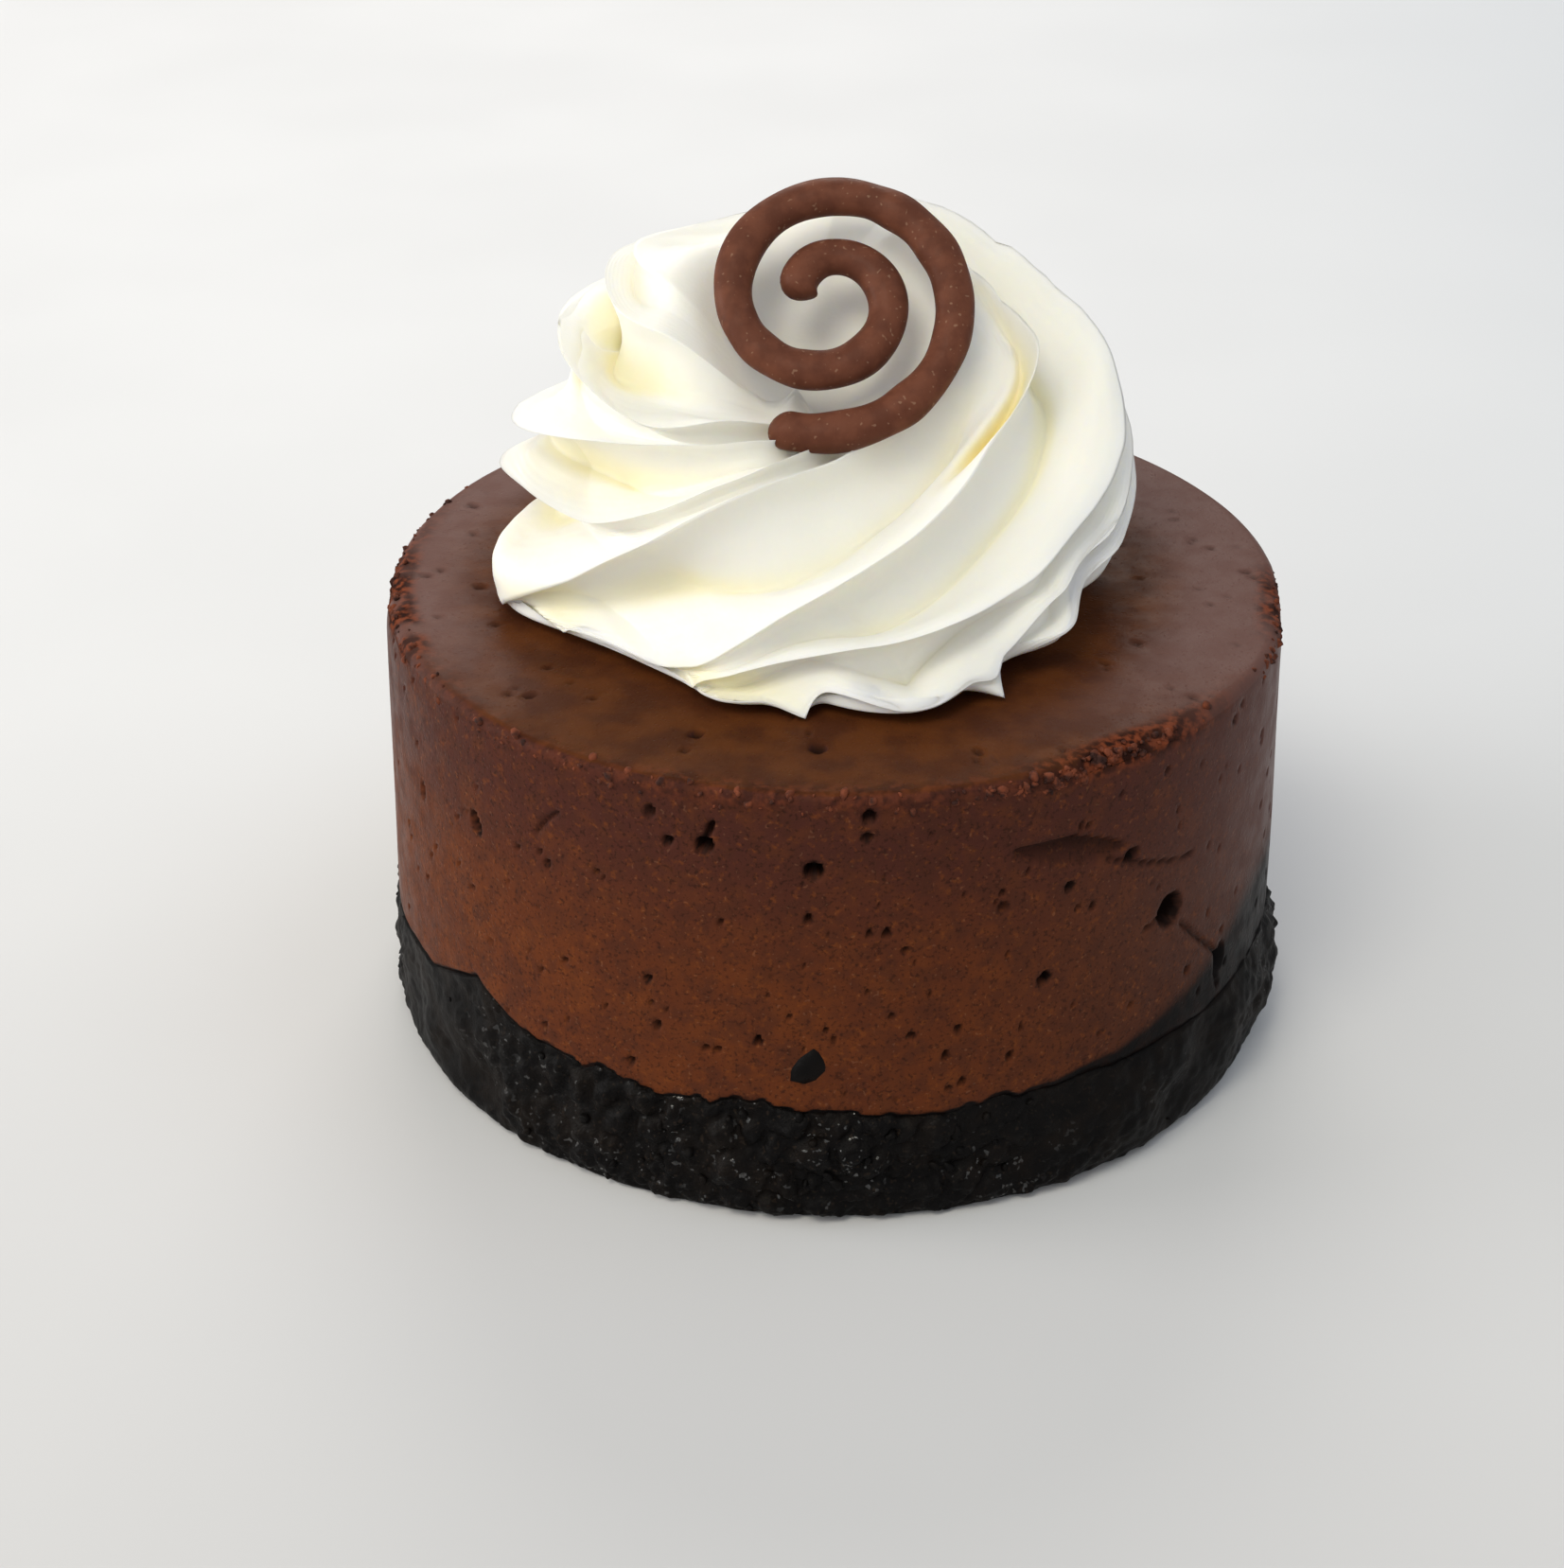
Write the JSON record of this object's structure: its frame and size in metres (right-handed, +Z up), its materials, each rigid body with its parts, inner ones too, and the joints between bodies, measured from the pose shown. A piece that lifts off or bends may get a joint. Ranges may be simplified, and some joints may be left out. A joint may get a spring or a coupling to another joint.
{
  "type": "chocolate cheesecake",
  "caption": "Single-portion round chocolate cheesecake: dark crumb crust, smooth chocolate filling, a swirled rosette of piped cream and a piped chocolate spiral set into the cream.",
  "frame": {"origin": "middle of the flat face that the cake rests on", "axes": "+Z up, -Y towards the side that the picture was taken from, +X to the right in the picture"},
  "size_m": [0.0768, 0.0769, 0.0694],
  "materials": {
    "crust": "moist dark crumb, softly glossy",
    "filling": "satin",
    "cream": "soft, slightly translucent",
    "chocolate": "matt"
  },
  "bodies": {
    "root": {"crust": "crust", "filling": "filling", "cream": "cream", "chocolate_spiral": "chocolate"}
  },
  "joints": []
}
